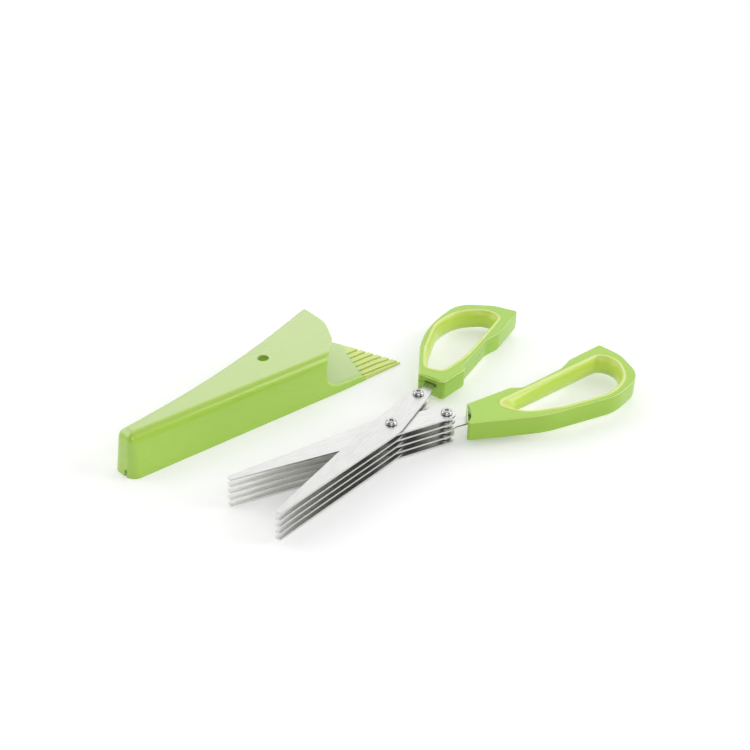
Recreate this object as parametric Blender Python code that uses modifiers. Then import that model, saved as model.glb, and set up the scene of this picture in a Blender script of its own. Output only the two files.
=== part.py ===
"""Herb scissors with five pairs of blades, two looped handles and a wedge-shaped cover with a comb.

The origin is on the pivot's axis at table level, +X runs from the blade tips to the handles and +Z is up.
Outlines are drawn from corners (x, y, corner radius).
"""

import math

import bmesh
import bpy
from mathutils import Vector

mm = 0.001
gap = 0.3 * mm
running_clearance = 0.1 * mm
overshoot = 20.0 * mm
arc_tolerance = 0.05 * mm

# Blades, in the half's own frame: the cutting edge is towards +Y and the spine towards -Y

pair_count = 5
middle_pair = pair_count // 2
blade_thickness = 0.8 * mm
pair_pitch = 3.2 * mm
lowest_blade_base = 0.9 * mm
half_opening = math.radians(12.8)
tip_x = -76.5 * mm
corner_radius = 0.5 * mm
tip_spine = (tip_x, 0.3 * mm, corner_radius)
tip_edge = (tip_x, 2.9 * mm, corner_radius)
spine_bend = (-6.4 * mm, -6.4 * mm, corner_radius)
shank_bend = (-1.2 * mm, -6.4 * mm, 3 * corner_radius)
heel = (-4.1 * mm, 7.5 * mm, corner_radius)
shank_shoulder = (-1.0 * mm, 6.8 * mm, 3 * corner_radius)
rear_screw = Vector((26.0 * mm, 3.1 * mm))
shank_end_radius = 4.0 * mm
tang_width = 5.2 * mm
tang_length = 24.0 * mm
tang_turn = {"a": math.radians(16.0), "b": math.radians(3.0)}

# Screws, sleeves, spacers and washers

sleeve_radius = 1.5 * mm
foot_radius = 2.8 * mm
foot_height = 0.6 * mm
screw_head_radius = 2.5 * mm
screw_head_height = 1.4 * mm
screw_slot_width = 0.7 * mm
screw_slot_depth = 0.6 * mm
screw_shaft_radius = 0.8 * mm
screw_shaft_length = 9.0 * mm
spacer_radius = 2.6 * mm
edge_chamfer = 0.2 * mm

# Handles, in the handle's own frame: +X to the rear and +Y outwards

handle_height = 9.6 * mm
handle_middle = 8.0 * mm
handle_edge_radius = 1.0 * mm
handle_turn = {"a": math.radians(10.4), "b": math.radians(-7.5)}
handle_shift = {"a": Vector((4.6 * mm, 6.8 * mm)), "b": Vector((-2.7 * mm, -3.2 * mm))}
waist = [
    (66.4 * mm, 1.8 * mm, 3.0 * mm),
    (91.8 * mm, 0.3 * mm, 7.0 * mm),
]
rear_end = {
    "a": [
        (100.6 * mm, -3.2 * mm, 9.0 * mm),
        (124.4 * mm, -4.3 * mm, 1.4 * mm),
        (124.4 * mm, 7.8 * mm, 14.0 * mm),
        (117.8 * mm, 25.2 * mm, 15.0 * mm),
    ],
    "b": [
        (100.6 * mm, -3.2 * mm, 9.0 * mm),
        (121.4 * mm, -4.6 * mm, 1.4 * mm),
        (123.2 * mm, 7.8 * mm, 14.0 * mm),
        (117.4 * mm, 25.6 * mm, 15.0 * mm),
    ],
}
front_end = {
    "a": [
        (84.5 * mm, 31.0 * mm, 66.0 * mm),
        (50.0 * mm, 17.6 * mm, 2.0 * mm),
        (47.6 * mm, 4.6 * mm, 2.0 * mm),
        (63.0 * mm, 0.0, 3.0 * mm),
    ],
    "b": [
        (97.0 * mm, 31.3 * mm, 24.0 * mm),
        (60.0 * mm, 24.6 * mm, 50.0 * mm),
        (27.0 * mm, 9.2 * mm, 1.6 * mm),
        (37.0 * mm, -2.6 * mm, 2.0 * mm),
        (61.5 * mm, -1.3 * mm, 3.0 * mm),
    ],
}

# The finger hole is narrowest at mid height and flares to both faces.

hole_arc_steps = 6
hole_waist_front = {
    "a": [(59.6 * mm, 10.2 * mm, 4.0 * mm), (60.2 * mm, 17.6 * mm, 4.0 * mm)],
    "b": [(55.3 * mm, 6.8 * mm, 4.0 * mm), (57.2 * mm, 17.6 * mm, 6.0 * mm)],
}
hole_waist_rear = [
    (72.0 * mm, 21.2 * mm, 60.0 * mm),
    (95.2 * mm, 26.0 * mm, 23.0 * mm),
    (109.0 * mm, 21.8 * mm, 18.0 * mm),
    (116.4 * mm, 10.8 * mm, 8.4 * mm),
    (113.2 * mm, 3.0 * mm, 5.0 * mm),
    (75.0 * mm, 5.3 * mm, 60.0 * mm),
]
hole_mouth_front = {
    "a": [(56.0 * mm, 8.4 * mm, 4.0 * mm), (54.6 * mm, 16.4 * mm, 4.4 * mm), (70.0 * mm, 23.4 * mm, 66.0 * mm)],
    "b": [(43.6 * mm, 3.4 * mm, 3.2 * mm), (52.4 * mm, 16.4 * mm, 24.0 * mm), (70.0 * mm, 24.6 * mm, 46.0 * mm)],
}
hole_mouth_rear = {
    "a": [
        (95.0 * mm, 27.4 * mm, 26.0 * mm),
        (111.2 * mm, 23.2 * mm, 20.0 * mm),
        (119.8 * mm, 9.6 * mm, 9.2 * mm),
        (117.0 * mm, 1.1 * mm, 5.4 * mm),
        (75.0 * mm, 3.0 * mm, 60.0 * mm),
    ],
    "b": [
        (96.0 * mm, 28.4 * mm, 26.0 * mm),
        (111.4 * mm, 24.0 * mm, 20.0 * mm),
        (119.4 * mm, 9.6 * mm, 9.6 * mm),
        (116.2 * mm, 1.1 * mm, 5.4 * mm),
        (75.0 * mm, 3.0 * mm, 60.0 * mm),
    ],
}
grip_thickness = 1.2 * mm
grip_lip = 0.5 * mm
grip_recess = 0.3 * mm
flare_steps = 4

# Cover, in its own frame: closed end at x = 0, near wall along y = 0

cover_corner = Vector((-94.6 * mm, 54.4 * mm, 0.0))
cover_turn = math.radians(-2.84)
cover_height = 20.6 * mm
cover_wall = 1.6 * mm
cover_floor = 1.6 * mm
cover_edge_radius = 4.4 * mm
cover_draft_share = 0.10
cover_edge_steps = 5
near_corner = (-0.8 * mm, 0.1 * mm, 5.0 * mm)
near_bend = (112.0 * mm, 0.5 * mm, 60.0 * mm)
first_tooth_tip = (148.6 * mm, 2.2 * mm, 0.7 * mm)
plate_far_corner = (126.4 * mm, 49.2 * mm, 5.0 * mm)
far_bend = (57.9 * mm, 23.4 * mm, 470.0 * mm)
far_corner = (-1.8 * mm, 13.2 * mm, 4.5 * mm)
mouth_near = (102.0 * mm, 1.0 * mm, 4.0 * mm)
mouth_mid = (114.8 * mm, 12.6 * mm, 12.0 * mm)
mouth_far = (121.8 * mm, 27.0 * mm, 20.0 * mm)
mouth_sweep_radius = 6.0 * mm
lip_height = 3.4 * mm
lip_slope_share = 0.065
lip_slope_start = 110.0 * mm
hang_hole = Vector((80.0 * mm, 18.8 * mm))
hang_hole_radius = 2.65 * mm
slot_count = 6
slot_width = 1.3 * mm
first_slot_y = 3.5 * mm
slot_pitch = 3.73 * mm
first_slot_x = 125.2 * mm
slot_start_step = 1.25 * mm
drain_y = 4.0 * mm
drain_width = 1.5 * mm
drain_height = 3.4 * mm

# Levels that follow from the stack

slide_step = blade_thickness + gap
pivot = Vector((0.0, 0.0))
sides = {"a": 1, "b": -1}


def blade_base(half, pair):
    """Height of a blade's underside. Pair 0 is the highest, and half A lies over half B."""
    step = slide_step if half == "a" else 0.0
    return lowest_blade_base + (pair_count - 1 - pair) * pair_pitch + step


# Scene, collections and materials

for old in list(bpy.data.objects):
    bpy.data.objects.remove(old, do_unlink=True)

parts = bpy.data.collections.new("herb_scissors")
cutters = bpy.data.collections.new("cutters")
bpy.context.scene.collection.children.link(parts)
bpy.context.scene.collection.children.link(cutters)


def material(name, colour, roughness, metallic):
    made = bpy.data.materials.new(name)
    made.use_nodes = True
    shader = made.node_tree.nodes["Principled BSDF"]
    shader.inputs["Base Color"].default_value = (*colour, 1.0)
    shader.inputs["Roughness"].default_value = roughness
    shader.inputs["Metallic"].default_value = metallic
    return made


blade_steel = material("blade_steel", (0.72, 0.72, 0.70), 0.32, 1.0)
fastener_steel = material("fastener_steel", (0.80, 0.80, 0.79), 0.18, 1.0)
green_plastic = material("green_plastic", (0.36, 0.60, 0.09), 0.38, 0.0)
lime_grip = material("lime_grip", (0.55, 0.68, 0.14), 0.5, 0.0)

# Outlines


def arc_steps(radius, sweep):
    """Steps that keep an arc's chords within the tolerance."""
    return max(2, math.ceil(sweep / (2 * math.acos(1 - min(1, arc_tolerance / radius)))))


def rounded(corners, shrink=0.0, steps=None):
    """Points of a closed outline with round corners, drawn smaller all round by an even amount."""
    points = []
    count = len(corners)
    way = math.copysign(1, sum(
        Vector(corners[index - 1][:2]).cross(Vector(corners[index][:2])) for index in range(count)))
    for index, (x, y, radius) in enumerate(corners):
        corner = Vector((x, y))
        before = (Vector(corners[index - 1][:2]) - corner).normalized()
        after = (Vector(corners[(index + 1) % count][:2]) - corner).normalized()
        half_angle = before.angle(after) / 2
        sweep = math.pi - 2 * half_angle
        middle = (before + after).normalized()
        turn = math.copysign(1, before.cross(after))
        inward = -turn * way
        corner = corner + middle * (inward * shrink / math.sin(half_angle))
        if radius == 0:
            points.append(corner)
            continue
        left = max(radius - inward * shrink, arc_tolerance)
        centre = corner + middle * (left / math.sin(half_angle))
        start = corner + before * (left / math.tan(half_angle)) - centre
        number = steps or arc_steps(radius, sweep)
        for step in range(number + 1):
            points.append(centre + rotated(start, -turn * sweep * step / number))
    return points


def rotated(arm, angle):
    cosine = math.cos(angle)
    sine = math.sin(angle)
    return Vector((arm.x * cosine - arm.y * sine, arm.x * sine + arm.y * cosine))


def circle(centre, radius, segments=24):
    start = Vector((radius, 0.0))
    return [centre + rotated(start, math.tau * index / segments) for index in range(segments)]


def mirrored(points, side):
    return [Vector((point.x, side * point.y)) for point in points]


def blended(first, second, share):
    return [one.lerp(other, share) for one, other in zip(first, second)]


# Solids


def new_solid(name, mesh, look, collection):
    solid = bpy.data.objects.new(name, mesh)
    collection.objects.link(solid)
    if look:
        mesh.materials.append(look)
    else:
        solid.display_type = "WIRE"
        solid.hide_render = True
    return solid


def layered(name, rings, look=None):
    """A solid from outlines stacked upwards, each (points, height), with the same number of points."""
    count = len(rings[0][0])
    form = bmesh.new()
    rows = [[form.verts.new((point.x, point.y, height)) for point in points] for points, height in rings]
    for lower, upper in zip(rows, rows[1:]):
        for index in range(count):
            following = (index + 1) % count
            form.faces.new((lower[index], lower[following], upper[following], upper[index]))
    form.faces.new(rows[0])
    form.faces.new(rows[-1])
    bmesh.ops.recalc_face_normals(form, faces=form.faces)
    mesh = bpy.data.meshes.new(name)
    form.to_mesh(mesh)
    form.free()
    return new_solid(name, mesh, look, parts if look else cutters)


def prism(name, points, base, height):
    return layered(name, [(points, base), (points, base + height)])


def plate(name, outlines, base, height, look):
    """A flat plate from one outline, with the further outlines as holes in it."""
    curve = bpy.data.curves.new(name, "CURVE")
    curve.dimensions = "2D"
    curve.fill_mode = "BOTH"
    curve.extrude = height / 2
    for outline in outlines:
        spline = curve.splines.new("POLY")
        spline.points.add(len(outline) - 1)
        for place, point in zip(spline.points, outline):
            place.co = (point.x, point.y, 0.0, 1.0)
        spline.use_cyclic_u = True
    guide = bpy.data.objects.new(name + "_outline", curve)
    bpy.context.scene.collection.objects.link(guide)
    guide.location.z = base + height / 2
    bpy.context.view_layer.update()
    seen = guide.evaluated_get(bpy.context.evaluated_depsgraph_get())
    mesh = bpy.data.meshes.new_from_object(seen)
    mesh.name = name
    mesh.materials.clear()
    solid = new_solid(name, mesh, look, parts)
    solid.matrix_world = guide.matrix_world
    bpy.data.objects.remove(guide, do_unlink=True)
    form = bmesh.new()
    form.from_mesh(mesh)
    bmesh.ops.remove_doubles(form, verts=form.verts, dist=arc_tolerance / 50)
    bmesh.ops.recalc_face_normals(form, faces=form.faces)
    form.to_mesh(mesh)
    form.free()
    return solid


def turned_piece(name, profile, look, centre, closed=False, steps=16):
    """A piece turned about the vertical from a profile of (radius, height)."""
    edges = [(index, index + 1) for index in range(len(profile) - 1)]
    if closed:
        edges.append((len(profile) - 1, 0))
    mesh = bpy.data.meshes.new(name)
    mesh.from_pydata([(radius, 0.0, height) for radius, height in profile], edges, [])
    solid = new_solid(name, mesh, look, parts)
    solid.location = (centre.x, centre.y, 0.0)
    screw = solid.modifiers.new("turn", "SCREW")
    screw.steps = steps
    screw.render_steps = steps
    screw.use_merge_vertices = True
    screw.merge_threshold = arc_tolerance / 50
    return solid


def ring_piece(name, base, top, centre):
    """A washer or spacer with its outer rims broken by a small chamfer."""
    bore = sleeve_radius + running_clearance
    profile = [
        (bore, top),
        (spacer_radius - edge_chamfer, top),
        (spacer_radius, top - edge_chamfer),
        (spacer_radius, base + edge_chamfer),
        (spacer_radius - edge_chamfer, base),
        (bore, base),
    ]
    return turned_piece(name, profile, fastener_steel, centre, closed=True)


def cut(solid, cutter):
    boolean = solid.modifiers.new("cut", "BOOLEAN")
    boolean.operation = "DIFFERENCE"
    boolean.solver = "EXACT"
    boolean.object = cutter


def smooth(solid):
    solid.data.shade_smooth()
    solid.data.set_sharp_from_angle(angle=math.radians(35))


def edge_profile(height, radius, steps=2):
    """Levels of a rounded rim at the bottom and the top, each (shrink, height above the base)."""
    arc = [math.pi / 2 * step / steps for step in range(steps + 1)]
    lower = [(radius * (1 - math.sin(angle)), radius * (1 - math.cos(angle))) for angle in arc]
    return lower + [(shrink, height - level) for shrink, level in reversed(lower)]


# Half A has its handle at +Y and half B at -Y: each hangs from an empty on the pivot's axis.

halves = {}
for half, side in sides.items():
    hub = bpy.data.objects.new("half_" + half, None)
    hub.rotation_euler.z = side * half_opening
    parts.objects.link(hub)
    halves[half] = hub

# Blades


def blade_outline(half, with_tang):
    """Blade, heel, angled shank and round rear end."""
    rear = rear_screw.x + shank_end_radius
    outer = rear_screw.y + shank_end_radius
    inner = rear_screw.y - shank_end_radius
    corners = [tip_edge, tip_spine, spine_bend, shank_bend]
    corners.append((rear_screw.x - shank_end_radius / 2, inner - shank_end_radius / 3, 2 * shank_end_radius))
    if with_tang:
        along = rotated(Vector((1.0, 0.0)), tang_turn[half])
        across = rotated(along, math.pi / 2) * tang_width / 2
        root = rear_screw + along * shank_end_radius
        end = rear_screw + along * tang_length
        corners.append((rear - corner_radius, inner, corner_radius))
        for place in (root - across, end - across, end + across, root + across):
            corners.append((place.x, place.y, corner_radius))
        corners.append((rear_screw.x + corner_radius, outer, corner_radius))
    else:
        corners.append((rear, inner, shank_end_radius))
        corners.append((rear, outer, shank_end_radius))
    return rounded(corners + [shank_shoulder, heel])


def build_blades(half):
    side = sides[half]
    hole_radius = sleeve_radius + running_clearance
    for pair in range(pair_count):
        outlines = [
            blade_outline(half, pair == middle_pair),
            circle(pivot, hole_radius),
            circle(rear_screw, hole_radius),
        ]
        outlines = [mirrored(points, side) for points in outlines]
        base = blade_base(half, pair)
        blade = plate(f"blade_{half}_{pair + 1}", outlines, base, blade_thickness, blade_steel)
        blade.parent = halves[half]
        smooth(blade)


# Fasteners


def build_sleeve(name, centre, foot_top, tube_top, screw_end):
    """A sleeve nut: a round foot below, and a tube that takes the screw from above."""
    bore = screw_shaft_radius + running_clearance
    profile = [
        (0.0, screw_end - gap),
        (bore, screw_end - gap),
        (bore, tube_top),
        (sleeve_radius, tube_top),
        (sleeve_radius, foot_top),
        (foot_radius - edge_chamfer, foot_top),
        (foot_radius, foot_top - edge_chamfer),
        (foot_radius, edge_chamfer),
        (foot_radius - edge_chamfer, 0.0),
        (0.0, 0.0),
    ]
    return turned_piece(name, profile, fastener_steel, centre)


def build_screw(name, centre, base, end):
    """A slotted screw with a low domed head, its thin shaft reaching down into the sleeve."""
    rim = screw_head_height / 2
    dome_steps = 4
    profile = []
    for step in range(dome_steps + 1):
        angle = math.pi / 2 * step / dome_steps
        height = base + rim + (screw_head_height - rim) * math.cos(angle)
        profile.append((screw_head_radius * math.sin(angle), height))
    profile.append((screw_head_radius, base))
    profile.append((screw_shaft_radius, base))
    profile.append((screw_shaft_radius, end))
    profile.append((0.0, end))
    solid = turned_piece(name, profile, fastener_steel, centre)
    reach = 2 * screw_head_radius
    wide = screw_slot_width / 2
    corners = [(-reach, -wide, 0), (reach, -wide, 0), (reach, wide, 0), (-reach, wide, 0)]
    floor = base + screw_head_height - screw_slot_depth
    slot = prism(name + "_slot", [centre + point for point in rounded(corners)], floor, overshoot)
    cut(solid, slot)
    return [solid, slot]


def build_fasteners():
    tops = {half: blade_base(half, 0) + blade_thickness for half in sides}
    screw_base = tops["a"] + gap
    screw_end = screw_base - screw_shaft_length
    build_sleeve("pivot_sleeve", pivot, foot_height, tops["a"], screw_end)
    build_screw("pivot_screw", pivot, screw_base, screw_end)
    for pair in range(pair_count - 1):
        base = blade_base("a", pair + 1) + blade_thickness + gap
        ring_piece(f"pivot_washer_{pair + 1}", base, blade_base("b", pair) - gap, pivot)
    for half, side in sides.items():
        rear = Vector((rear_screw.x, side * rear_screw.y))
        screw_base = tops[half] + gap
        screw_end = screw_base - screw_shaft_length
        foot_top = blade_base(half, pair_count - 1) - gap
        pieces = [build_sleeve(f"rear_sleeve_{half}", rear, foot_top, tops[half], screw_end)]
        pieces.extend(build_screw(f"rear_screw_{half}", rear, screw_base, screw_end))
        for pair in range(pair_count - 1):
            base = blade_base(half, pair + 1) + blade_thickness + gap
            name = f"rear_spacer_{half}_{pair + 1}"
            pieces.append(ring_piece(name, base, blade_base(half, pair) - gap, rear))
        for piece in pieces:
            piece.parent = halves[half]


# Handles


def placed(points, half):
    """Outline points moved from the handle's own frame to the half's."""
    moved = [rear_screw + rotated(point - handle_shift[half] - rear_screw, handle_turn[half])
             for point in points]
    return mirrored(moved, sides[half])


def build_handle(half):
    base = handle_middle - handle_height / 2
    corners = waist + rear_end[half] + front_end[half]
    rings = [(placed(rounded(corners, shrink), half), base + level)
             for shrink, level in edge_profile(handle_height, handle_edge_radius)]
    handle = layered(f"handle_{half}", rings, green_plastic)
    seat = flared(f"seat_{half}", half, grip_thickness + gap, grip_lip + gap, handle_height)
    hole = flared(f"hole_{half}", half, 0.0, 0.0, handle_height)
    slot = tang_slot(half)
    cut(handle, seat)
    cut(handle, slot)
    tall = handle_height - 2 * grip_recess
    grip = flared(f"grip_{half}", half, grip_thickness, grip_lip, tall, lime_grip)
    cut(grip, hole)
    for piece in (handle, seat, hole, slot, grip):
        piece.parent = halves[half]
    smooth(handle)
    smooth(grip)


def flared(name, half, spread, lip, height, look=None):
    """A solid shaped like the finger hole, larger by one amount at mid height and another at its faces."""
    middle = rounded(hole_waist_front[half] + hole_waist_rear, -spread, hole_arc_steps)
    mouth = rounded(hole_mouth_front[half] + hole_mouth_rear[half], -lip, hole_arc_steps)
    reach = math.asin(height / handle_height)
    rings = []
    for step in range(-flare_steps, flare_steps + 1):
        angle = reach * step / flare_steps
        level = handle_middle + handle_height / 2 * math.sin(angle)
        rings.append((placed(blended(middle, mouth, 1 - math.cos(angle)), half), level))
    if look is None:
        rings.insert(0, (rings[0][0], rings[0][1] - overshoot))
        rings.append((rings[-1][0], rings[-1][1] + overshoot))
    return layered(name, rings, look)


def tang_slot(half):
    """The pocket in the handle's front end that takes the middle blade's tang."""
    along = rotated(Vector((1.0, 0.0)), tang_turn[half])
    across = rotated(along, math.pi / 2) * (tang_width / 2 + gap)
    start = rear_screw
    end = rear_screw + along * (tang_length + gap)
    points = mirrored([start - across, end - across, end + across, start + across], sides[half])
    base = blade_base(half, middle_pair) - gap
    return prism(f"tang_slot_{half}", points, base, blade_thickness + 2 * gap)


# Cover


def cover_rings(front, inset, base, radius):
    """Outlines of the cover's drafted walls and round top edge, inset evenly from the outside."""
    corners = [far_corner, near_corner] + front + [far_bend]
    shoulder_level = cover_height - cover_edge_radius
    lean = cover_draft_share * shoulder_level
    rings = [(rounded(corners, cover_draft_share * base + inset), base)]
    for step in range(cover_edge_steps + 1):
        angle = math.pi / 2 * step / cover_edge_steps
        shrink = lean + inset + radius * (1 - math.cos(angle))
        rings.append((rounded(corners, shrink), shoulder_level + radius * math.sin(angle)))
    return rings


def build_cover():
    place = bpy.data.objects.new("cover_place", None)
    place.location = cover_corner
    place.rotation_euler.z = cover_turn
    parts.objects.link(place)
    front = [near_bend, first_tooth_tip, plate_far_corner]
    cover = layered("cover", cover_rings(front, 0.0, 0.0, cover_edge_radius), green_plastic)
    past = first_tooth_tip[0] + overshoot
    beyond = plate_far_corner[1] + overshoot
    open_front = [near_bend, (past, near_bend[1], 0), (past, beyond, 0)]
    inner_radius = cover_edge_radius - cover_wall
    cavity = layered("cover_cavity", cover_rings(open_front, cover_wall, cover_floor, inner_radius))
    made = [cavity, mouth_cutter(past, beyond)]
    hole = circle(hang_hole, hang_hole_radius, 32)
    made.append(prism("hang_hole", hole, cover_height / 2, cover_height))
    made.append(box("drain_slot", (-overshoot, drain_y), (2 * cover_wall, drain_y + drain_width),
                    -cover_floor, cover_floor + drain_height))
    for index in range(slot_count):
        start = (first_slot_x + index * slot_start_step, first_slot_y + index * slot_pitch - slot_width / 2)
        end = (past, start[1] + slot_width)
        made.append(box(f"comb_slot_{index + 1}", start, end, -cover_floor, 2 * cover_height))
    for cutter in made:
        cutter.parent = place
        cut(cover, cutter)
    cover.parent = place
    smooth(cover)


def box(name, low, high, base, height):
    corners = [(*low, 0), (high[0], low[1], 0), (*high, 0), (low[0], high[1], 0)]
    return prism(name, rounded(corners), base, height)


def mouth_cutter(past, beyond):
    """What the mouth removes: upright rims above, sweeping out into the plate that thins to the comb."""
    corners = [
        (mouth_near[0], -overshoot, 0),
        mouth_near,
        mouth_mid,
        mouth_far,
        (mouth_far[0], beyond, 0),
        (past, beyond, 0),
        (past, -overshoot, 0),
    ]
    rings = []
    for step in range(cover_edge_steps + 1):
        angle = math.pi / 2 * step / cover_edge_steps
        shrink = mouth_sweep_radius * (1 - math.sin(angle))
        rings.append((rounded(corners, shrink), lip_height + mouth_sweep_radius * (1 - math.cos(angle))))
    rings.append((rings[-1][0], 2 * cover_height))
    cutter = layered("cover_mouth", rings)
    for vertex in cutter.data.vertices:
        vertex.co.z -= lip_slope_share * (vertex.co.x - lip_slope_start)
    return cutter


for half in sides:
    build_blades(half)
    build_handle(half)
build_fasteners()
build_cover()
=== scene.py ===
# %% [markdown]
# # Herb scissors and their cover
#
# This lesson dresses a pair of herb scissors: two stacks of sheet steel blades on one pivot, two green
# handles with lime linings, and a wedge-shaped cover that ends in a comb. The solids of the real construction
# are loaded first. They fix every size and every joint, and what follows gives them their finished surfaces.

# %% Load the solids
import math

import bmesh
import bpy
from mathutils import Matrix, Vector


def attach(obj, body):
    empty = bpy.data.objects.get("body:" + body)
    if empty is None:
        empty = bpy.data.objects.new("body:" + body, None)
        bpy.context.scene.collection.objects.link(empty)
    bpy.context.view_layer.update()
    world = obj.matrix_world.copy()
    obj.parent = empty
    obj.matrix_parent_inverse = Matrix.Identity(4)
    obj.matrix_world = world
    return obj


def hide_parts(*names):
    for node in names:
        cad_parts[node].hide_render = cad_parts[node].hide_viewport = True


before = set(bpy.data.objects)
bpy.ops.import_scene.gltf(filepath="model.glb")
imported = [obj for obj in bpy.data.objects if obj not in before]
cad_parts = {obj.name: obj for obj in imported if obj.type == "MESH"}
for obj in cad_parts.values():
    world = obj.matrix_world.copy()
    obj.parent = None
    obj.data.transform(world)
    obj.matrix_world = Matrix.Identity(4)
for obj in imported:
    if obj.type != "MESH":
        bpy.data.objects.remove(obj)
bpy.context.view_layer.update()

mm = 0.001


def in_mm(box):
    """The corners of a box in millimetres, for printing."""
    return [[round(value / mm, 1) for value in corner] for corner in box]


# %% [markdown]
# ## The camera
#
# The scissors lie on a table and are seen from the front left, from about 33 degrees above the table. The
# camera stands where the edges of the real object, seen in perspective, meet the edges of the solids. Its
# three directions are written as unit vectors: to the right of the picture, up in the picture, and into it.

# %% Camera
picture_width = 750
sensor_width = 36
focal_pixels = 1365.1
nearest_seen = 10 * mm
farthest_seen = 20
camera_place = Vector((-336.68, -337.97, 345.45)) * mm
picture_right = Vector((0.73286, -0.67968, 0.03076))
picture_up = Vector((0.34823, 0.41356, 0.84125))
view_line = Vector((0.58450, 0.60581, -0.53977))

camera_data = bpy.data.cameras.new("camera")
camera_data.sensor_width = sensor_width
camera_data.lens = sensor_width * focal_pixels / picture_width
camera_data.clip_start = nearest_seen
camera_data.clip_end = farthest_seen
camera = bpy.data.objects.new("camera", camera_data)
bpy.context.scene.collection.objects.link(camera)
turn = Matrix((picture_right, picture_up, -view_line)).transposed()
camera.matrix_world = Matrix.Translation(camera_place) @ turn.to_4x4()
bpy.context.scene.camera = camera
bpy.context.scene.view_settings.view_transform = "Standard"
print("lens:", round(camera_data.lens, 1), "mm")

# %% [markdown]
# ## Helpers for modelling
#
# Operators act on whatever is selected, so each step first selects one object and nothing else. A solid from
# the frame is loose triangles. A copy of it is merged and its flat faces are joined, and that copy can be
# bevelled, inset and smoothed like anything drawn by hand. Smooth shading alone would bend the light across a
# wide flat face next to a small round, so a Weighted Normal modifier gives the wide faces the say: they stay
# flat, and only the round carries the highlight.

# %% Selecting and copying
same_place = 0.01 * mm


def only(piece):
    """Select one piece alone and make it active."""
    bpy.ops.object.select_all(action="DESELECT")
    piece.select_set(True)
    bpy.context.view_layer.objects.active = piece


def merged_copy(node, title, flatness=0.5):
    """A clean copy of a solid. Faces that turn by less than the flatness, in degrees, are joined."""
    piece = bpy.data.objects.new(title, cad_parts[node].data.copy())
    bpy.context.scene.collection.objects.link(piece)
    piece.data.materials.clear()
    only(piece)
    if piece.data.has_custom_normals:
        bpy.ops.mesh.customdata_custom_splitnormals_clear()
    bpy.ops.object.mode_set(mode="EDIT")
    bpy.ops.mesh.select_all(action="SELECT")
    bpy.ops.mesh.remove_doubles(threshold=same_place)
    bpy.ops.mesh.dissolve_limited(angle_limit=math.radians(flatness))
    bpy.ops.object.mode_set(mode="OBJECT")
    return piece


print("solids to copy:", len(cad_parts))

# %% Bevelling and finishing
wide_faces_say = 100


def bevelled(piece, width, segments=2, angle=30.0):
    """Break every edge sharper than the angle with a small round, and apply it."""
    only(piece)
    bevel = piece.modifiers.new("edge_round", "BEVEL")
    bevel.width = width
    bevel.segments = segments
    bevel.limit_method = "ANGLE"
    bevel.angle_limit = math.radians(angle)
    bevel.miter_outer = "MITER_ARC"
    bpy.ops.object.modifier_apply(modifier=bevel.name)


def finished(piece, look, body, slot, *nodes, angle):
    """Smooth the piece, give it its material and set it on its body in place of the solids."""
    only(piece)
    bpy.ops.object.shade_smooth_by_angle(angle=math.radians(angle))
    flat_faces = piece.modifiers.new("flat_faces", "WEIGHTED_NORMAL")
    flat_faces.mode = "FACE_AREA"
    flat_faces.weight = wide_faces_say
    flat_faces.keep_sharp = True
    bpy.ops.object.modifier_apply(modifier=flat_faces.name)
    piece.data.materials.clear()
    piece.data.materials.append(look)
    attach(piece, body)
    if nodes:
        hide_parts(*nodes)


print("say of the wide faces:", wide_faces_say, "percent")

# %% [markdown]
# ## Shared effects
#
# Two effects come back in several materials, so each is a node group. Moulded skin is the very fine, uneven
# texture that plastic takes from its mould. Brushed lines are the long scratches of rolled and brushed sheet:
# noise drawn out along one direction. Noise seldom leaves the middle of its range, so the middle is stretched
# to the whole range before it steers anything.

# %% Node group helpers
noise_low = 0.15
noise_high = 0.85


def new_group(title, inputs, outputs):
    """A shader node group whose float inputs are given as (name, value) and float outputs by name."""
    group = bpy.data.node_groups.new(title, "ShaderNodeTree")
    for name, value in inputs:
        socket = group.interface.new_socket(name, in_out="INPUT", socket_type="NodeSocketFloat")
        socket.default_value = value
    for name in outputs:
        group.interface.new_socket(name, in_out="OUTPUT", socket_type="NodeSocketFloat")
    entry = group.nodes.new("NodeGroupInput")
    leave = group.nodes.new("NodeGroupOutput")
    return group, entry, leave


def scaled_noise(tree, place, scale, detail, roughness):
    """A noise texture on the given coordinates."""
    noise = tree.nodes.new("ShaderNodeTexNoise")
    noise.inputs["Scale"].default_value = scale
    noise.inputs["Detail"].default_value = detail
    noise.inputs["Roughness"].default_value = roughness
    tree.links.new(place, noise.inputs["Vector"])
    return noise


def mapped(tree, value, low, high, from_low=noise_low, from_high=noise_high):
    """Stretch a value softly from one range to another. The new ends may be numbers or sockets."""
    node = tree.nodes.new("ShaderNodeMapRange")
    node.inputs["From Min"].default_value = from_low
    node.inputs["From Max"].default_value = from_high
    node.interpolation_type = "SMOOTHSTEP"
    for name, end in (("To Min", low), ("To Max", high)):
        if isinstance(end, float):
            node.inputs[name].default_value = end
        else:
            tree.links.new(end, node.inputs[name])
    tree.links.new(value, node.inputs["Value"])
    return node.outputs["Result"]


print("noise is stretched from", noise_low, "to", noise_high)

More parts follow.
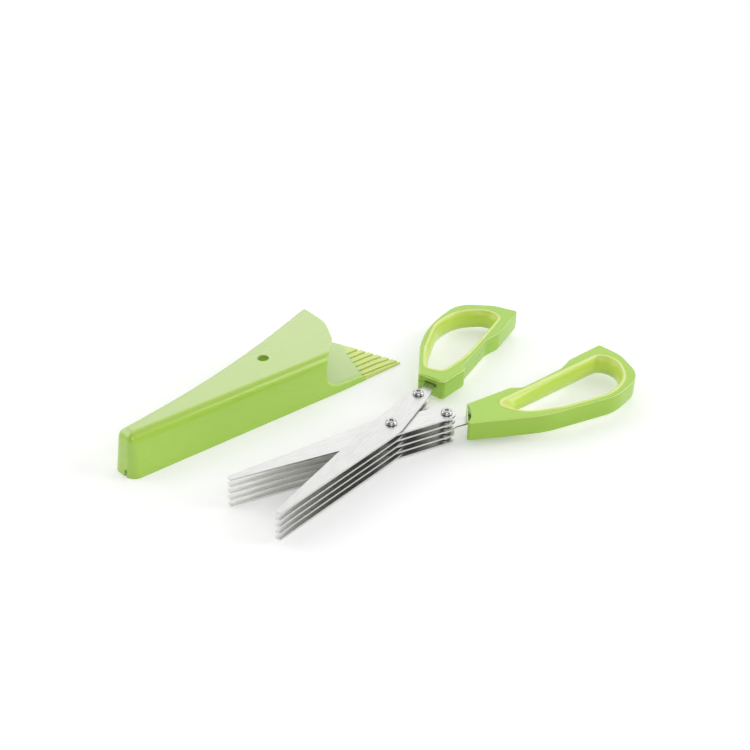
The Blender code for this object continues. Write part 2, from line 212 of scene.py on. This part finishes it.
# %% Moulded skin
moulded_skin, entry, leave = new_group(
    "moulded_skin", [("Smoothest", 0.3), ("Roughest", 0.4)], ["Roughness", "Height", "Mottle"])
coordinates = moulded_skin.nodes.new("ShaderNodeTexCoord")
place = coordinates.outputs["Object"]
fine = scaled_noise(moulded_skin, place, scale=2600.0, detail=3.0, roughness=0.6)
broad = scaled_noise(moulded_skin, place, scale=24.0, detail=0.0, roughness=0.5)
rough = mapped(moulded_skin, broad.outputs["Fac"], entry.outputs["Smoothest"], entry.outputs["Roughest"])
moulded_skin.links.new(rough, leave.inputs["Roughness"])
moulded_skin.links.new(fine.outputs["Fac"], leave.inputs["Height"])
moulded_skin.links.new(broad.outputs["Fac"], leave.inputs["Mottle"])
print("group:", moulded_skin.name)

# %% Brushed lines
line_stretch = (0.12, 1.0, 1.0)
brushed_lines, entry, leave = new_group(
    "brushed_lines", [("Direction", 0.0), ("Smoothest", 0.25), ("Roughest", 0.4)],
    ["Roughness", "Height", "Streak"])
coordinates = brushed_lines.nodes.new("ShaderNodeTexCoord")
turned = brushed_lines.nodes.new("ShaderNodeVectorRotate")
turned.rotation_type = "Z_AXIS"
brushed_lines.links.new(coordinates.outputs["Object"], turned.inputs["Vector"])
brushed_lines.links.new(entry.outputs["Direction"], turned.inputs["Angle"])
drawn = brushed_lines.nodes.new("ShaderNodeMapping")
drawn.inputs["Scale"].default_value = line_stretch
brushed_lines.links.new(turned.outputs["Vector"], drawn.inputs["Vector"])
place = drawn.outputs["Vector"]
fine = scaled_noise(brushed_lines, place, scale=5200.0, detail=4.0, roughness=0.65)
broad = scaled_noise(brushed_lines, place, scale=1700.0, detail=3.0, roughness=0.6)
rough = mapped(brushed_lines, fine.outputs["Fac"], entry.outputs["Smoothest"], entry.outputs["Roughest"])
brushed_lines.links.new(rough, leave.inputs["Roughness"])
brushed_lines.links.new(fine.outputs["Fac"], leave.inputs["Height"])
brushed_lines.links.new(broad.outputs["Fac"], leave.inputs["Streak"])
print("group:", brushed_lines.name)

# %% [markdown]
# ## Materials
#
# Each material is one Principled shader. Its colour runs between two near shades, because no moulded or
# rolled surface is one flat colour, and a faint bump carries the skin or the brushing.

# %% Material helpers
def srgb(red, green, blue):
    """A colour from its screen values, 0 to 255."""
    def linear(value):
        share = value / 255
        return share / 12.92 if share <= 0.04045 else ((share + 0.055) / 1.055) ** 2.4
    return (linear(red), linear(green), linear(blue), 1.0)


def new_material(title, metallic):
    """A material with its Principled shader, bare metal at 1 and plastic at 0."""
    made = bpy.data.materials.new(title)
    made.use_nodes = True
    shader = made.node_tree.nodes["Principled BSDF"]
    shader.inputs["Metallic"].default_value = metallic
    return made, made.node_tree, shader


def placed_group(tree, group, **values):
    """A node group in a material, with its own values."""
    node = tree.nodes.new("ShaderNodeGroup")
    node.node_tree = group
    for name, value in values.items():
        node.inputs[name].default_value = value
    return node


def shade_between(tree, share, first, second):
    """Mix two colours, given as values or sockets, by a share that varies over the surface."""
    mix = tree.nodes.new("ShaderNodeMix")
    mix.data_type = "RGBA"
    colours = {socket.name: socket for socket in mix.inputs if socket.type == "RGBA"}
    shares = [socket for socket in mix.inputs if socket.name == "Factor" and socket.type == "VALUE"]
    for name, colour in (("A", first), ("B", second)):
        if isinstance(colour, tuple):
            colours[name].default_value = colour
        else:
            tree.links.new(colour, colours[name])
    tree.links.new(share, shares[0])
    return next(socket for socket in mix.outputs if socket.type == "RGBA")


def add_bump(tree, shader, height, depth):
    """Let a height between 0 and 1 bend the light as if it were this deep."""
    bump = tree.nodes.new("ShaderNodeBump")
    bump.inputs["Distance"].default_value = depth
    tree.links.new(height, bump.inputs["Height"])
    tree.links.new(bump.outputs["Normal"], shader.inputs["Normal"])


print("middle grey is", round(srgb(128, 128, 128)[0], 3), "in linear light")

# %% Steel
def steel(title, dark, light, direction, smoothest, roughest, depth):
    """Brushed steel whose lines run at an angle to the long axis."""
    made, tree, shader = new_material(title, 1.0)
    lines = placed_group(tree, brushed_lines, Direction=direction, Smoothest=smoothest, Roughest=roughest)
    share = mapped(tree, lines.outputs["Streak"], 0.0, 1.0)
    tree.links.new(shade_between(tree, share, dark, light), shader.inputs["Base Color"])
    tree.links.new(lines.outputs["Roughness"], shader.inputs["Roughness"])
    add_bump(tree, shader, lines.outputs["Height"], depth)
    return made


half_opening = math.radians(12.8)
blade_finish = {"smoothest": 0.26, "roughest": 0.44, "depth": 0.004 * mm}
blade_looks = {
    "a": steel("blade_steel_a", srgb(204, 204, 202), srgb(222, 222, 220), -half_opening, **blade_finish),
    "b": steel("blade_steel_b", srgb(208, 208, 206), srgb(226, 226, 224), half_opening, **blade_finish),
}
screw_look = steel("polished_screws", srgb(190, 190, 189), srgb(206, 206, 205), 0.0,
                   smoothest=0.08, roughest=0.16, depth=0.0005 * mm)
print("steels:", [look.name for look in blade_looks.values()], screw_look.name)

# %% Plastics
plastic_ior = 1.5
plastic_shine = 0.7
coat_roughness = 0.16
light_spread = (1.0, 1.1, 0.25)
light_reach = 1.2 * mm


def plastic(title, deep, pale, smoothest, roughest, depth, glow, gloss=0.4, tints=()):
    """Moulded plastic that lets a little light in. Each tint is a mask group, its output and a colour."""
    made, tree, shader = new_material(title, 0.0)
    skin = placed_group(tree, moulded_skin, Smoothest=smoothest, Roughest=roughest)
    share = mapped(tree, skin.outputs["Mottle"], 0.0, 1.0)
    colour = shade_between(tree, share, deep, pale)
    for group, output, tint in tints:
        mask = placed_group(tree, group)
        colour = shade_between(tree, mask.outputs[output], colour, tint)
    tree.links.new(colour, shader.inputs["Base Color"])
    tree.links.new(skin.outputs["Roughness"], shader.inputs["Roughness"])
    add_bump(tree, shader, skin.outputs["Height"], depth)
    shader.inputs["IOR"].default_value = plastic_ior
    shader.inputs["Specular IOR Level"].default_value = plastic_shine
    shader.inputs["Coat Weight"].default_value = gloss
    shader.inputs["Coat Roughness"].default_value = coat_roughness
    shader.inputs["Subsurface Weight"].default_value = glow
    shader.inputs["Subsurface Radius"].default_value = light_spread
    shader.inputs["Subsurface Scale"].default_value = light_reach
    return made


green_look = plastic("handle_plastic", srgb(160, 207, 46), srgb(170, 213, 60),
                     smoothest=0.25, roughest=0.31, depth=0.003 * mm, glow=0.25, gloss=0.2)
# The mould line's paler green is a painted highlight: the light that the thin ridge catches.
mould_line_highlight_look = plastic("green_edge_painted_highlight", srgb(188, 221, 102), srgb(199, 227, 118),
                          smoothest=0.14, roughest=0.22, depth=0.001 * mm, glow=0.3)
lime_look = plastic("lime_lining", srgb(203, 231, 84), srgb(211, 236, 96),
                    smoothest=0.34, roughest=0.42, depth=0.004 * mm, glow=0.3)
# The rolled edge's paler lime is a painted highlight on a real roll.
rolled_edge_highlight_look = plastic("lime_edge_painted_highlight", srgb(217, 235, 122), srgb(224, 239, 134),
                         smoothest=0.24, roughest=0.32, depth=0.002 * mm, glow=0.3)
print("plastics:", green_look.name, mould_line_highlight_look.name, lime_look.name, rolled_edge_highlight_look.name)

# %% [markdown]
# ## Blades
#
# Each blade is a flat plate of sheet steel, 0.8 mm thick. On the real object the plates are stamped, so their
# edges are slightly round, and a round edge is what draws the thin bright line along every blade. A Bevel
# modifier with an angle limit finds those edges without any selecting: it rounds what is sharp and leaves the
# faces alone.

# %% Blades
pair_numbers = range(1, 6)
blade_edge_round = 0.1 * mm
for half in ("a", "b"):
    for pair in pair_numbers:
        node = f"blade_{half}_{pair}"
        blade = merged_copy(node, f"sheet_{node}")
        bevelled(blade, blade_edge_round, angle=50.0)
        finished(blade, blade_looks[half], "half_" + half, "stainless_steel", node, angle=35.0)
print("blades:", 2 * len(pair_numbers))

# %% [markdown]
# ## Screws
#
# Each head is a polished dome with a small round socket in its top. It could be turned from a profile, but a
# cylinder gets there faster: its top face is inset and pushed down for the socket, the outer rim is bevelled
# wide until it is a dome, and the bottom face is inset and pulled down for the shaft. One screw is modelled
# at the origin, and the others are copies of its mesh.

# %% Selecting by place
level_normal = 0.9
radius_slack = 0.01


def faces_where(piece, test):
    """In edit mode, select the faces that pass the test and nothing else."""
    bpy.ops.mesh.select_mode(type="FACE")
    bpy.ops.mesh.select_all(action="DESELECT")
    form = bmesh.from_edit_mesh(piece.data)
    for face in form.faces:
        face.select_set(test(face))
    bmesh.update_edit_mesh(piece.data)


def edges_where(piece, test):
    """In edit mode, select the edges that pass the test and nothing else."""
    bpy.ops.mesh.select_mode(type="EDGE")
    bpy.ops.mesh.select_all(action="DESELECT")
    form = bmesh.from_edit_mesh(piece.data)
    for edge in form.edges:
        edge.select_set(test(edge))
    bmesh.update_edit_mesh(piece.data)


def on_circle(edge, radius):
    """Whether both ends of an edge lie at this distance from the Z axis, within one percent."""
    return all(abs(vertex.co.xy.length - radius) < radius_slack * radius for vertex in edge.verts)


def box_of(node):
    """Lowest and highest corner of a solid's mesh."""
    points = [vertex.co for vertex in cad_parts[node].data.vertices]
    low = Vector([min(point[axis] for point in points) for axis in range(3)])
    high = Vector([max(point[axis] for point in points) for axis in range(3)])
    return low, high


print("solid of the pivot screw:", in_mm(box_of("pivot_screw")))

# %% One screw
head_radius = 2.5 * mm
head_height = 1.4 * mm
head_sides = 64
dome_round = 1.15 * mm
socket_radius = 0.95 * mm
socket_depth = 1.1 * mm
socket_round = 0.2 * mm
shaft_radius = 0.8 * mm
shaft_length = 8.8 * mm


def on_top(edge):
    return all(vertex.co.z > head_height - same_place for vertex in edge.verts)


bpy.ops.object.select_all(action="DESELECT")
bpy.ops.mesh.primitive_cylinder_add(
    vertices=head_sides, radius=head_radius, depth=head_height, location=(0.0, 0.0, head_height / 2))
screw = bpy.context.active_object
bpy.ops.object.transform_apply(location=True, rotation=True, scale=True)
bpy.ops.object.mode_set(mode="EDIT")
faces_where(screw, lambda face: face.normal.z > level_normal)
bpy.ops.mesh.inset(thickness=head_radius - socket_radius, depth=0.0)
bpy.ops.mesh.extrude_region_move(TRANSFORM_OT_translate={"value": (0.0, 0.0, -socket_depth)})
faces_where(screw, lambda face: face.normal.z < -level_normal)
bpy.ops.mesh.inset(thickness=head_radius - shaft_radius, depth=0.0)
bpy.ops.mesh.extrude_region_move(TRANSFORM_OT_translate={"value": (0.0, 0.0, -shaft_length)})
edges_where(screw, lambda edge: on_top(edge) and on_circle(edge, head_radius))
bpy.ops.mesh.bevel(offset=dome_round, segments=8, profile=0.5)
edges_where(screw, lambda edge: on_top(edge) and on_circle(edge, socket_radius))
bpy.ops.mesh.bevel(offset=socket_round, segments=3, profile=0.5)
bpy.ops.object.mode_set(mode="OBJECT")
print("screw:", len(screw.data.polygons), "faces")

# %% Three screws from one
screw_nodes = ("pivot_screw", "rear_screw_a", "rear_screw_b")


def copied(model, title, place):
    """A copy with its own mesh, moved in the mesh so that the object itself stays at the origin."""
    piece = bpy.data.objects.new(title, model.data.copy())
    bpy.context.scene.collection.objects.link(piece)
    piece.data.transform(Matrix.Translation(place))
    return piece


def bright_fastener(piece, node, angle):
    """Finish a piece of bright steel in place of its solid. A name with _b in it belongs to half B."""
    finished(piece, screw_look, "half_b" if "_b" in node else "half_a", "bright_fasteners", node, angle=angle)


for node in screw_nodes:
    low, high = box_of(node)
    place = Vector(((low.x + high.x) / 2, (low.y + high.y) / 2, high.z - head_height))
    bright_fastener(copied(screw, "polished_" + node, place), node, angle=40.0)
bpy.data.objects.remove(screw, do_unlink=True)
print("screws:", len(screw_nodes))

# %% [markdown]
# ## Spacers, washers and sleeves
#
# Rings of two heights keep the blades apart: tall spacers behind, thin washers on the pivot. A ring could be
# cut with a boolean, but bridging does it cleanly: both end faces of a cylinder are inset to the bore, the
# two inner faces go, and the edges they leave are bridged. The sleeves that carry the rings are turned parts
# already, and only their rims are broken.

# %% Rings
ring_families = ("pivot_washer_", "rear_spacer_a_", "rear_spacer_b_")
ring_numbers = range(1, 5)
ring_radius = 2.6 * mm
bore_radius = 1.6 * mm
ring_sides = 48
ring_round = 0.25 * mm


def is_level(edge):
    return abs(edge.verts[0].co.z - edge.verts[1].co.z) < same_place


def new_ring(height):
    """A ring of this height round the Z axis, with its outer rims broken."""
    bpy.ops.object.select_all(action="DESELECT")
    bpy.ops.mesh.primitive_cylinder_add(vertices=ring_sides, radius=ring_radius, depth=height)
    ring = bpy.context.active_object
    bpy.ops.object.mode_set(mode="EDIT")
    faces_where(ring, lambda face: abs(face.normal.z) > level_normal)
    bpy.ops.mesh.inset(thickness=ring_radius - bore_radius, depth=0.0)
    bpy.ops.mesh.delete(type="ONLY_FACE")
    edges_where(ring, lambda edge: len(edge.link_faces) == 1)
    bpy.ops.mesh.bridge_edge_loops()
    bpy.ops.mesh.select_all(action="SELECT")
    bpy.ops.mesh.normals_make_consistent(inside=False)
    edges_where(ring, lambda edge: is_level(edge) and on_circle(edge, ring_radius))
    bpy.ops.mesh.bevel(offset=ring_round, segments=3, profile=0.5)
    bpy.ops.object.mode_set(mode="OBJECT")
    return ring


for family in ring_families:
    low, high = box_of(family + str(ring_numbers[0]))
    ring = new_ring(high.z - low.z)
    for number in ring_numbers:
        node = family + str(number)
        low, high = box_of(node)
        bright_fastener(copied(ring, "bright_" + node, (low + high) / 2), node, angle=40.0)
    bpy.data.objects.remove(ring, do_unlink=True)
print("rings:", len(ring_families) * len(ring_numbers))

# %% Sleeves
sleeve_round = 0.08 * mm
for node in ("pivot_sleeve", "rear_sleeve_a", "rear_sleeve_b"):
    sleeve = merged_copy(node, "bright_" + node)
    bevelled(sleeve, sleeve_round, angle=50.0)
    bright_fastener(sleeve, node, angle=50.0)
print("fasteners replaced:", sum(name.startswith(("pivot", "rear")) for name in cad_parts))

# %% [markdown]
# ## Handles
#
# A handle is one green moulding. Its front end is hollowed by a wide cylinder, which clears the stack of
# blades, and a shallow pocket round the tang is cut with a box. Both cuts are booleans, and a bevel then
# rounds every rim that they leave. A fine raised line runs round the top edge, where the two halves of the
# mould met. It is a thin bead on the handle's own edge loop: the loop is copied out, becomes a curve, and the
# curve gets a round bevel. Its paler green is a painted highlight, the light that this ridge catches. The
# solid's outline turns in straight steps, and the real one in soft ones. So each upright edge between two
# wide faces is bevelled first, as one column with the short edges that carry it over the top and the bottom.

# %% Cuts
handle_middle = 8.0 * mm
front_corners = {
    "a": (Vector((39.5, 23.5)) * mm, Vector((42.38, 10.61)) * mm),
    "b": (Vector((27.49, -18.39)) * mm, Vector((38.54, -7.56)) * mm),
}
scoop_depth = {"a": 1.2 * mm, "b": 2.1 * mm}
scoop_sides = 160
pocket_shift = {"a": 0.165, "b": -0.08}
pocket_width = {"a": 10.8 * mm, "b": 8.6 * mm}
pocket_height = {"a": 1.8 * mm, "b": 3.2 * mm}
pocket_depth = {"a": 0.2 * mm, "b": 2.2 * mm}
pocket_lift = 1.0 * mm
pocket_round = 0.5 * mm
cutter_height = 20 * mm


def carve(piece, cutter):
    """Subtract the cutter, and remove it."""
    only(piece)
    boolean = piece.modifiers.new("cut", "BOOLEAN")
    boolean.operation = "DIFFERENCE"
    boolean.solver = "EXACT"
    boolean.object = cutter
    bpy.ops.object.modifier_apply(modifier=boolean.name)
    bpy.data.objects.remove(cutter, do_unlink=True)


def front_cuts(piece, half):
    """Hollow the front face between its two corners, and cut the pocket for the tang."""
    first, second = front_corners[half]
    middle = (first + second) / 2
    chord = (second - first).length
    across = (second - first).normalized()
    inward = Vector((across.y, -across.x))
    if inward.x < 0:
        inward = -inward
    depth = scoop_depth[half]
    radius = chord * chord / (8 * depth) + depth / 2
    centre = middle - inward * (radius - depth)
    bpy.ops.object.select_all(action="DESELECT")
    bpy.ops.mesh.primitive_cylinder_add(
        vertices=scoop_sides, radius=radius, depth=cutter_height,
        location=(centre.x, centre.y, handle_middle))
    carve(piece, bpy.context.active_object)
    tang_place = middle + (first - second) * pocket_shift[half]
    bpy.ops.object.select_all(action="DESELECT")
    bpy.ops.mesh.primitive_cube_add(
        size=1.0, location=(tang_place.x, tang_place.y, handle_middle + pocket_lift))
    pocket = bpy.context.active_object
    pocket.rotation_euler.z = math.atan2(inward.y, inward.x)
    pocket.scale = (2 * (depth + pocket_depth[half]), pocket_width[half], pocket_height[half])
    bpy.ops.object.transform_apply(location=True, rotation=True, scale=True)
    bevelled(pocket, pocket_round, segments=3)
    carve(piece, pocket)


for half, (first, second) in front_corners.items():
    print("front of handle", half + ":", round((second - first).length / mm, 1), "mm wide")

# %% Beads
bead_resolution = 4


def bead_on(piece, title, wanted, radius, lift):
    """A round bead along the widest loop of the edges that pass the test, moved up by the lift."""
    only(piece)
    bpy.ops.object.duplicate()
    bead = bpy.context.active_object
    bpy.ops.object.mode_set(mode="EDIT")
    edges_where(bead, wanted)
    bpy.ops.mesh.select_all(action="INVERT")
    bpy.ops.mesh.delete(type="EDGE")
    bpy.ops.mesh.select_all(action="SELECT")
    bpy.ops.mesh.delete(type="ONLY_FACE")
    bpy.ops.object.mode_set(mode="OBJECT")
    bpy.ops.object.convert(target="CURVE")
    loops = bead.data.splines
    reach = {index: max(point.co.x for point in loop.points) - min(point.co.x for point in loop.points)
             for index, loop in enumerate(loops)}
    widest = max(reach, key=reach.get)
    for index in sorted(reach, reverse=True):
        if index != widest:
            loops.remove(loops[index])
    bead.data.bevel_depth = radius
    bead.data.bevel_resolution = bead_resolution
    bpy.ops.object.convert(target="MESH")
    bead.data.transform(Matrix.Translation((0.0, 0.0, lift)))
    bead.name = title
    return bead


print("sides of a bead:", 2 * (bead_resolution + 2))

# %% Rounder outline
corner_round = 1.9 * mm
wide_face = 2.6 * mm
tall_edge = 5 * mm
behind_front = 52 * mm
corner_turns = (6, 75)
least_lean = 0.03 * mm


def starts_corner(edge):
    """Whether an edge runs down the wall between two wide faces that turn a little."""
    first, second = edge.verts
    height = abs(first.co.z - second.co.z)
    if height < tall_edge or first.co.x < behind_front or not edge.is_manifold:
        return False
    if min(face.calc_area() / height for face in edge.link_faces) < wide_face:
        return False
    return corner_turns[0] < math.degrees(edge.calc_face_angle(0.0)) < corner_turns[1]


def corner_columns(piece):
    """Select each such edge with the short edges that carry it over the top and bottom rounds."""
    edges_where(piece, starts_corner)
    form = bmesh.from_edit_mesh(piece.data)
    waiting = [edge for edge in form.edges if edge.select]
    while waiting:
        edge = waiting.pop()
        for vertex in edge.verts:
            for near in vertex.link_edges:
                leans = abs(near.verts[0].co.z - near.verts[1].co.z) > least_lean
                if leans and not near.select:
                    near.select_set(True)
                    waiting.append(near)
    bmesh.update_edit_mesh(piece.data)


def rounder_outline(piece):
    """Bevel the columns, and print whether the mesh is still closed."""
    only(piece)
    bpy.ops.object.mode_set(mode="EDIT")
    corner_columns(piece)
    bpy.ops.mesh.bevel(offset=corner_round, segments=3, profile=0.5, clamp_overlap=True)
    form = bmesh.from_edit_mesh(piece.data)
    open_edges = sum(not edge.is_manifold for edge in form.edges)
    bpy.ops.object.mode_set(mode="OBJECT")
    print("outline of", piece.name, "faces:", len(piece.data.polygons), "open edges:", open_edges)


# %% Both handles
line_radius = 0.3 * mm
line_sink = 0.06 * mm
line_drop_share = 0.29
top_round = 1.0 * mm
level_slack = 0.05 * mm
cut_round = 0.25 * mm


def at_level(edge, level):
    return all(abs(vertex.co.z - level) < level_slack for vertex in edge.verts)


for half in ("a", "b"):
    handle = merged_copy("handle_" + half, "moulded_handle_" + half)
    rounder_outline(handle)
    low, high = box_of("handle_" + half)
    line_level = high.z - line_drop_share * top_round
    # The mould line is a real ridge, and its paler green is a painted highlight.
    line = bead_on(
        handle, "mould_line_" + half, lambda edge: at_level(edge, line_level), line_radius, -line_sink)
    finished(line, mould_line_highlight_look, "half_" + half, "green_plastic", angle=60.0)
    front_cuts(handle, half)
    bevelled(handle, cut_round, angle=35.0)
    finished(handle, green_look, "half_" + half, "green_plastic", "handle_" + half, angle=50.0)
    print("handle", half, "faces:", len(handle.data.polygons))

# %% [markdown]
# ## Linings
#
# The finger holes are lined with a softer, lime plastic that rolls over the hole's edge. The solid's wall has
# flat facets, and a Subdivision Surface turns them into one smooth curve. Its rims are creased first, or they
# would shrink away. The rolled edge is a bead again, on the lining's own rim, so it follows the hole exactly
# and covers the joint between the two plastics. Its paler lime is a painted highlight, the light that the
# round roll catches.

# %% Linings
roll_radius = 1.0 * mm
roll_sink = 0.5 * mm
rim_turn = math.radians(60)
facet_flatness = 0.05
smooth_levels = 2


def is_rim(edge):
    """Whether an edge is sharp, as at the top and bottom of a lining."""
    return edge.is_manifold and edge.calc_face_angle(0.0) > rim_turn


def smooth_lining(half):
    """The lining with its facets smoothed and its rims kept."""
    lining = merged_copy("grip_" + half, "soft_lining_" + half, flatness=facet_flatness)
    bpy.ops.object.mode_set(mode="EDIT")
    bpy.ops.mesh.select_all(action="SELECT")
    bpy.ops.mesh.quads_convert_to_tris()
    bpy.ops.mesh.tris_convert_to_quads(face_threshold=math.pi, shape_threshold=math.pi)
    edges_where(lining, is_rim)
    bpy.ops.transform.edge_crease(value=1.0)
    bpy.ops.object.mode_set(mode="OBJECT")
    surface = lining.modifiers.new("smooth", "SUBSURF")
    surface.levels = smooth_levels
    surface.render_levels = smooth_levels
    bpy.ops.object.modifier_apply(modifier=surface.name)
    return lining


for half in ("a", "b"):
    lining = smooth_lining(half)
    low, high = box_of("grip_" + half)
    for title, level, lift in (("top", high.z, -roll_sink), ("bottom", low.z, roll_sink)):
        # The rolled edge is a real roll, and its paler lime is a painted highlight.
        roll = bead_on(lining, f"rolled_edge_{half}_{title}",
                       lambda edge: is_rim(edge) and at_level(edge, level), roll_radius, lift)
        finished(roll, rolled_edge_highlight_look, "half_" + half, "lime_grip", angle=60.0)
    finished(lining, lime_look, "half_" + half, "lime_grip", "grip_" + half, angle=50.0)
    print("lining", half, "faces:", len(lining.data.polygons), "rolled edge:", len(roll.data.polygons))

# %% [markdown]
# ## Cover
#
# The cover is one thin green shell, and its plastic is slightly clear. Where it is thin and flat, on the top
# plate and inside the mouth, it looks pale: partly the thin plastic's own paleness and partly a painted
# sheen.
# Along the near edge, where plate and wall run together, a darker band is painted shade: the round of that
# edge mirrors a darker part of the room there. The comb at the end is so thin that it turns yellow. A painted
# picture could carry these tints, but a node group that measures the distance from the near wall gives them
# from the shape itself, at any size and without a seam.

# %% Where the cover is thin, and where sheen and shade are painted on it
cover_corner = Vector((-94.6, 54.4, 0.0)) * mm
cover_turn = math.radians(-2.84)
plate_level = 20.6 * mm
below_plate = (1.6 * mm, 0.4 * mm)
# The darker band along the near edge is painted shade; these give its middle and reach.
corner_middle = 3.8 * mm
corner_reach = 2.2 * mm
past_middle = (0.5 * mm, 3.0 * mm)
mouth_start = 103.0 * mm
mouth_fade = 4.0 * mm
comb_start = 124.0 * mm
comb_fade = 2.5 * mm
comb_slant = 0.33


def combined(tree, operation, first, second):
    """One Math node. The second value may be a number."""
    node = tree.nodes.new("ShaderNodeMath")
    node.operation = operation
    tree.links.new(first, node.inputs[0])
    if isinstance(second, float):
        node.inputs[1].default_value = second
    else:
        tree.links.new(second, node.inputs[1])
    return node.outputs[0]


def eased(tree, value, start, end):
    """Rise softly from 0 at the start to 1 at the end."""
    return mapped(tree, value, 0.0, 1.0, start, end)


def measured(tree, place, direction):
    """Distance along a direction."""
    node = tree.nodes.new("ShaderNodeVectorMath")
    node.operation = "DOT_PRODUCT"
    node.inputs[1].default_value = direction
    tree.links.new(place, node.inputs[0])
    return node.outputs["Value"]


walls, _, leave = new_group("cover_walls", [], ["Plate_and_sheen", "Corner_painted_shade", "Comb"])
coordinates = walls.nodes.new("ShaderNodeTexCoord")
from_corner = walls.nodes.new("ShaderNodeVectorMath")
from_corner.operation = "SUBTRACT"
from_corner.inputs[1].default_value = cover_corner
walls.links.new(coordinates.outputs["Object"], from_corner.inputs[0])
place = from_corner.outputs["Vector"]
along = measured(walls, place, (math.cos(cover_turn), math.sin(cover_turn), 0.0))
inward = measured(walls, place, (-math.sin(cover_turn), math.cos(cover_turn), 0.0))
level = measured(walls, place, (0.0, 0.0, 1.0))
print("group:", walls.name)

# %% Masks and plastic of the cover
# Plate: the top plate and the inside of the mouth, pale partly from the thin plastic and partly from painted
# sheen.
on_plate = eased(walls, level, plate_level - below_plate[0], plate_level - below_plate[1])
in_mouth = eased(walls, along, mouth_start, mouth_start + mouth_fade)
flat = combined(walls, "MAXIMUM", on_plate, in_mouth)
past_corner = eased(walls, inward, corner_middle + past_middle[0], corner_middle + past_middle[1])
walls.links.new(combined(walls, "MULTIPLY", flat, past_corner), leave.inputs["Plate_and_sheen"])
# Corner: a darker band along the near edge, painted shade where the round mirrors a darker part of the room.
rise = eased(walls, inward, corner_middle - corner_reach, corner_middle)
fall = eased(walls, inward, corner_middle, corner_middle + corner_reach)
painted_shade_band = combined(walls, "SUBTRACT", rise, fall)
walls.links.new(combined(walls, "MULTIPLY", painted_shade_band, on_plate), leave.inputs["Corner_painted_shade"])
slant = combined(walls, "MULTIPLY", inward, comb_slant)
past_slots = combined(walls, "SUBTRACT", along, slant)
walls.links.new(eased(walls, past_slots, comb_start, comb_start + comb_fade), leave.inputs["Comb"])

cover_tints = (
    # Pale plate: partly the thin plastic's own tone, partly painted sheen.
    (walls, "Plate_and_sheen", srgb(194, 219, 136)),
    # Darker near edge: painted shade.
    (walls, "Corner_painted_shade", srgb(173, 203, 70)),
    (walls, "Comb", srgb(214, 230, 112)),
)
cover_look = plastic("cover_plastic", srgb(174, 218, 66), srgb(181, 222, 74), smoothest=0.22, roughest=0.30,
                     depth=0.003 * mm, glow=0.25, gloss=0.6, tints=cover_tints)
print("material:", cover_look.name)

# %% Cover
cover = merged_copy("cover", "moulded_cover")
finished(cover, cover_look, "cover", "green_plastic", "cover", angle=40.0)
print("cover faces:", len(cover.data.polygons))

# %% [markdown]
# ## Floor and light
#
# The floor is white paper, lit softly. To the camera and in reflections it is raised to a clean white, and it
# keeps the shadows. The strongest of the wide soft lights stands to the right, so the shadows fall to the
# left, and one behind the object gives every level face its pale sheen. The world is white behind and above
# the object and darker at the front left. A face turned that way mirrors the darker part, and so keeps its
# full colour.

# %% Floor
floor_reach = 8.0
paper_white = 0.82
paper_lift = 0.29
bpy.ops.object.select_all(action="DESELECT")
bpy.ops.mesh.primitive_plane_add(size=floor_reach, location=(0.0, 0.0, 0.0))
floor = bpy.context.active_object
floor.name = "paper_floor"
paper = bpy.data.materials.new("white_paper")
paper.use_nodes = True
tree = paper.node_tree
tree.nodes.clear()
leave = tree.nodes.new("ShaderNodeOutputMaterial")
sheet = tree.nodes.new("ShaderNodeBsdfDiffuse")
sheet.inputs["Color"].default_value = (paper_white, paper_white, paper_white, 1.0)
lift = tree.nodes.new("ShaderNodeEmission")
rays = tree.nodes.new("ShaderNodeLightPath")
seen = combined(tree, "MAXIMUM", rays.outputs["Is Camera Ray"], rays.outputs["Is Glossy Ray"])
through = combined(tree, "MAXIMUM", seen, rays.outputs["Is Transmission Ray"])
tree.links.new(combined(tree, "MULTIPLY", through, paper_lift), lift.inputs["Strength"])
total = tree.nodes.new("ShaderNodeAddShader")
tree.links.new(sheet.outputs[0], total.inputs[0])
tree.links.new(lift.outputs[0], total.inputs[1])
tree.links.new(total.outputs[0], leave.inputs["Surface"])
floor.data.materials.append(paper)
print("floor:", floor_reach, "m wide")

# %% World
dark_side = Vector((-0.70, -0.70, 0.10)).normalized()
fade_start = -0.1
fade_end = 0.5
bright_sky = 0.88
dark_sky = 0.25
world = bpy.data.worlds.new("soft_studio")
bpy.context.scene.world = world
world.use_nodes = True
tree = world.node_tree
tree.nodes.clear()
leave = tree.nodes.new("ShaderNodeOutputWorld")
sky = tree.nodes.new("ShaderNodeBackground")
sky.inputs["Color"].default_value = (1.0, 1.0, 1.0, 1.0)
coordinates = tree.nodes.new("ShaderNodeTexCoord")
nearness = measured(tree, coordinates.outputs["Generated"], dark_side)
fade = mapped(tree, nearness, bright_sky, dark_sky, fade_start, fade_end)
tree.links.new(fade, sky.inputs["Strength"])
tree.links.new(sky.outputs[0], leave.inputs["Surface"])
print("world:", world.name, "from", dark_sky, "to", bright_sky)

# %% Soft lights
middle = Vector((10, 15, 8)) * mm


def soft_light(title, direction, distance, size, radiance):
    """A square soft light that faces the middle of the object."""
    data = bpy.data.lights.new(title, "AREA")
    data.shape = "SQUARE"
    data.size = size
    data.energy = radiance * math.pi * size * size
    lamp = bpy.data.objects.new(title, data)
    bpy.context.scene.collection.objects.link(lamp)
    towards = Vector(direction).normalized()
    lamp.location = middle + towards * distance
    lamp.rotation_euler = towards.to_track_quat("Z", "Y").to_euler()


soft_light("back_window", (0.62, 0.62, 0.58), distance=1.4, size=0.8, radiance=0.5)
soft_light("right_window", (0.62, -0.56, 0.50), distance=1.3, size=0.7, radiance=2.2)
soft_light("low_window", (0.75, -0.60, 0.20), distance=1.3, size=0.6, radiance=1.45)
soft_light("left_window", (-0.50, 0.68, 0.50), distance=1.4, size=0.8, radiance=1.35)
soft_light("front_screen", (-0.45, -0.62, 0.60), distance=1.4, size=0.9, radiance=1.85)
print("lights:", len(bpy.data.lights))
